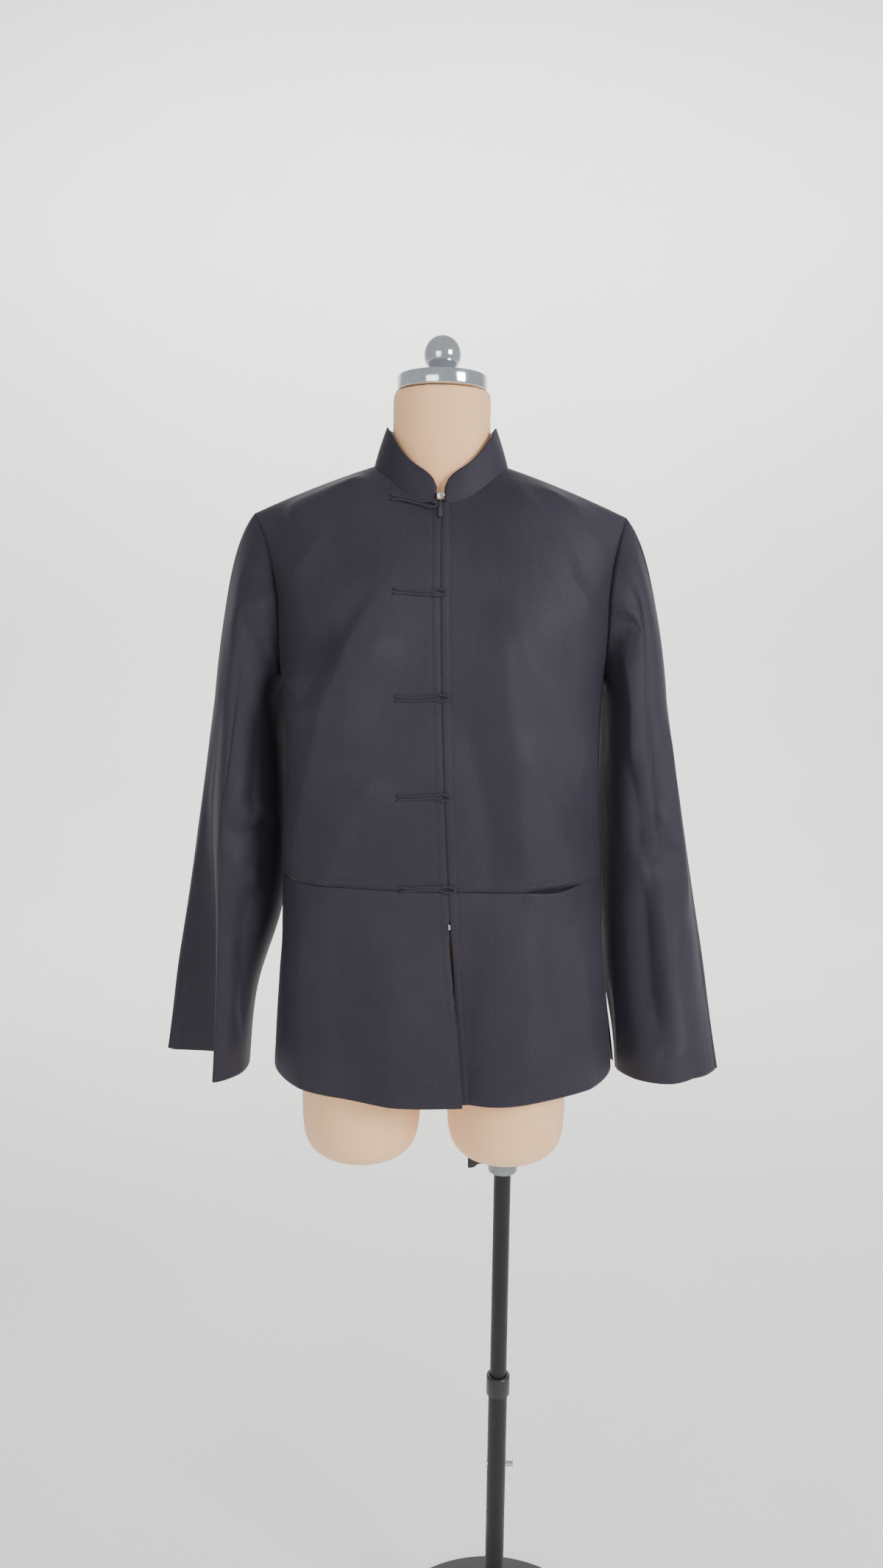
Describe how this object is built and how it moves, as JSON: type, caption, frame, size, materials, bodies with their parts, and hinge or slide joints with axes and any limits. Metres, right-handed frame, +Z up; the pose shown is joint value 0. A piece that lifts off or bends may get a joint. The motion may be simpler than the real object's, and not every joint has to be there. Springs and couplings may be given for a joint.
{
  "type": "tang jacket on a dress form with a stand",
  "caption": "Dark tang jacket with a stand collar, zip front and frog loops, worn open at cuffs, hem and neck by a headless half-body dress form on a telescoping stand.",
  "frame": {"origin": "middle of the base plate's underside, on the stand's pole", "axes": "+Z up, -Y to the jacket's front, +X to the wearer's left"},
  "size_m": [0.7188, 0.35, 1.7542],
  "materials": {
    "jacket_cloth": "fine plain weave, slight sheen",
    "lining_cloth": "matte woven lining",
    "frog_cord": "bias cord of the jacket cloth",
    "form_jersey": "stretched jersey over a smooth form",
    "chrome": "polished",
    "cast_metal": "sand cast, satin",
    "black_plastic": "moulded",
    "black_steel": "powder coated",
    "zip_tape": "woven tape",
    "zip_metal": "nickel plated",
    "zip_pull": "dark lacquer"
  },
  "bodies": {
    "stand": {"base_plate": "black_steel", "lower_tube": "black_steel", "tube_collar": "black_plastic"},
    "column": {"column_tube": "black_steel"},
    "dress_form": {"form_torso": "form_jersey", "neck_cap": "chrome", "finial_ball": "chrome", "thigh_flange": "cast_metal", "front_right_upper": "jacket_cloth", "front_right_lower": "jacket_cloth", "front_left_upper": "jacket_cloth", "front_left_lower": "jacket_cloth", "back": "jacket_cloth", "sleeve_right": "jacket_cloth", "sleeve_left": "jacket_cloth", "collar": "jacket_cloth", "collar_lining": "lining_cloth", "pocket_bag_right": "jacket_cloth", "pocket_bag_left": "jacket_cloth", "vent_facing_right": "lining_cloth", "vent_facing_left": "lining_cloth", "zip_tape_right": "zip_tape", "zip_tape_left": "zip_tape", "zip_slider": "zip_metal", "zip_stop": "zip_metal", "frog_1": "frog_cord", "frog_2": "frog_cord", "frog_3": "frog_cord", "frog_4": "frog_cord", "frog_5": "frog_cord"},
    "clamp_screw": {"clamp_screw": "black_plastic"},
    "height_pin": {"height_pin": "chrome"},
    "pull_tab": {"zip_pull_tab": "zip_pull"}
  },
  "joints": [
    {"name": "stand_height", "type": "slide", "parent": "stand", "child": "column", "axis": [0, 0, 1], "range_m": [0, 0.08]},
    {"name": "form_swivel", "type": "hinge", "parent": "column", "child": "dress_form", "pos_m": [0, 0, 0.7485], "axis": [0, 0, 1], "continuous": true},
    {"name": "clamp_screw_turn", "type": "hinge", "parent": "dress_form", "child": "clamp_screw", "pos_m": [-0.03, 0, 0.7365], "axis": [1, 0, 0], "continuous": true},
    {"name": "height_pin_pull", "type": "slide", "parent": "stand", "child": "height_pin", "axis": [1, 0, 0], "range_m": [0, 0.03]},
    {"name": "pull_tab_lift", "type": "hinge", "parent": "dress_form", "child": "pull_tab", "pos_m": [-0.09, -0.06884, 1.557], "axis": [-1, 0, 0], "range_deg": [0, 110]}
  ]
}
